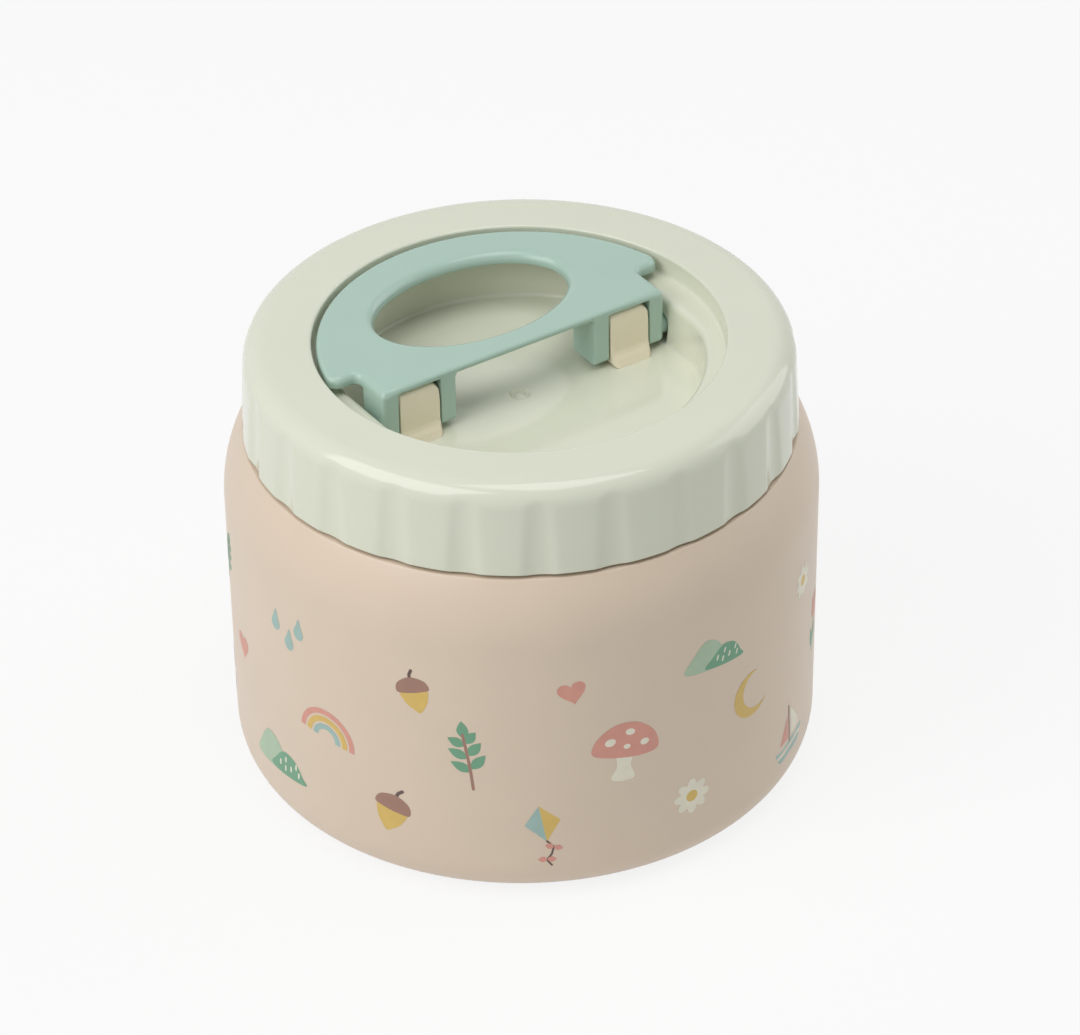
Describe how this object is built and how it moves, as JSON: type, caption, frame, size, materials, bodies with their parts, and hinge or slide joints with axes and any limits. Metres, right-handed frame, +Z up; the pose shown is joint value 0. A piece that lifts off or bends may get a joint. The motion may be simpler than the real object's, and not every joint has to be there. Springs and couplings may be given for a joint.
{
  "type": "insulated food jar",
  "caption": "Squat double-walled insulated food jar with a screw lid and a folding D-shaped handle sunk in the lid's round recess.",
  "frame": {"origin": "centre of the jar's base, on the surface it stands on", "axes": "+Z up through the middle of the jar, +X along the handle's hinge axis, +Y from the hinge towards the round end of the closed handle"},
  "size_m": [0.104, 0.104, 0.0825],
  "materials": {
    "coated_steel": "matt powder coat with a printed pattern",
    "bare_steel": "fine turned lines",
    "solder": "dull cast bead",
    "getter_alloy": "sintered, rough",
    "base_rubber": "matt",
    "pale_green_plastic": "satin moulded",
    "cream_plastic": "satin moulded",
    "foam": "closed-cell foam, dull",
    "silicone": "soft, slightly clear",
    "pin_steel": "ground",
    "mint_plastic": "satin moulded"
  },
  "bodies": {
    "jar": {"outer_shell": "coated_steel", "inner_cup": "bare_steel", "base_plate": "bare_steel", "vacuum_plug": "solder", "getter": "getter_alloy", "base_cover": "base_rubber"},
    "seal": {"seal_ring": "silicone"},
    "lid": {"lid_shell": "pale_green_plastic", "lid_liner": "cream_plastic", "lid_insulation": "foam", "hinge_post_left": "cream_plastic", "hinge_post_right": "cream_plastic"},
    "handle": {"handle": "mint_plastic", "hinge_pin_left": "pin_steel", "hinge_pin_right": "pin_steel"}
  },
  "joints": [
    {"name": "lid_lift", "type": "slide", "parent": "jar", "child": "seal", "axis": [0, 0, 1], "range_m": [0, 0.06]},
    {"name": "lid_turn", "type": "hinge", "parent": "seal", "child": "lid", "pos_m": [0, 0, 0.0698], "axis": [0, 0, 1], "range_deg": [0, 360]},
    {"name": "handle_fold", "type": "hinge", "parent": "lid", "child": "handle", "pos_m": [0, 0.0006, 0.07348], "axis": [1, 0, 0], "range_deg": [0, 90]}
  ]
}
